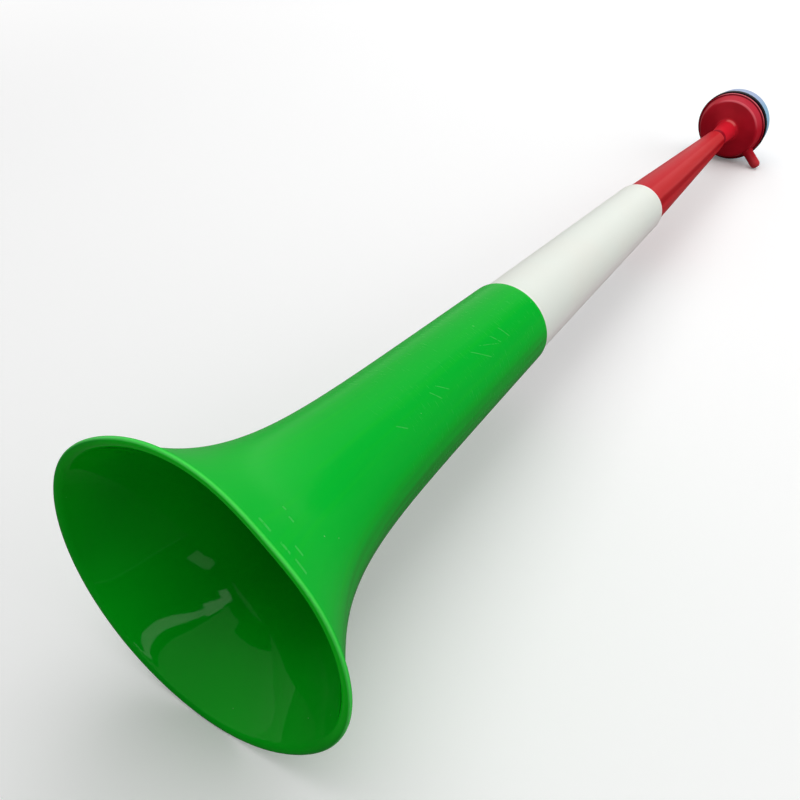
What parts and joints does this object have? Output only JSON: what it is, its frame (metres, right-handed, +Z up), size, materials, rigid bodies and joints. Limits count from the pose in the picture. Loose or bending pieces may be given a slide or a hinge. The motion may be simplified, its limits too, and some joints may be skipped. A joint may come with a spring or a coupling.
{
  "type": "telescopic stadium horn",
  "caption": "Collapsible plastic stadium horn: a flared bell, two tapered sliding tubes and a diaphragm head blown through a side nipple.",
  "frame": {"origin": "centre of the horn's footprint on the surface it lies on", "axes": "+Z up; +X along the horn from the bell to the head, whose axis falls 3.92 degrees towards the head; the blow nipple points down and towards -Y"},
  "size_m": [0.5726, 0.1248, 0.1246],
  "materials": {
    "green_plastic": "glossy moulded plastic, lightly scuffed",
    "white_plastic": "satin, slightly translucent white",
    "red_plastic": "glossy, a little worn",
    "deep_red_plastic": "glossy",
    "film": "thin stretched plastic film",
    "black_rubber": "matt black rubber",
    "pale_blue_plastic": "satin pale blue"
  },
  "bodies": {
    "bell": {"bell_section": "green_plastic"},
    "middle": {"middle_section": "white_plastic"},
    "upper": {"upper_section": "red_plastic"},
    "head": {"head_cup": "deep_red_plastic", "diaphragm": "film", "rubber_ring": "black_rubber"},
    "cap": {"cap": "pale_blue_plastic"}
  },
  "joints": [
    {"name": "middle_slide", "type": "slide", "parent": "bell", "child": "middle", "axis": [-0.9977, 0, 0.0683], "range_m": [0, 0.1593]},
    {"name": "upper_slide", "type": "slide", "parent": "middle", "child": "upper", "axis": [-0.9977, 0, 0.0683], "range_m": [0, 0.1718]},
    {"name": "head_pull", "type": "slide", "parent": "upper", "child": "head", "axis": [0.9977, 0, -0.0683], "range_m": [0, 0.025]},
    {"name": "cap_pull", "type": "slide", "parent": "head", "child": "cap", "axis": [0.9977, 0, -0.0683], "range_m": [0, 0.015]}
  ]
}
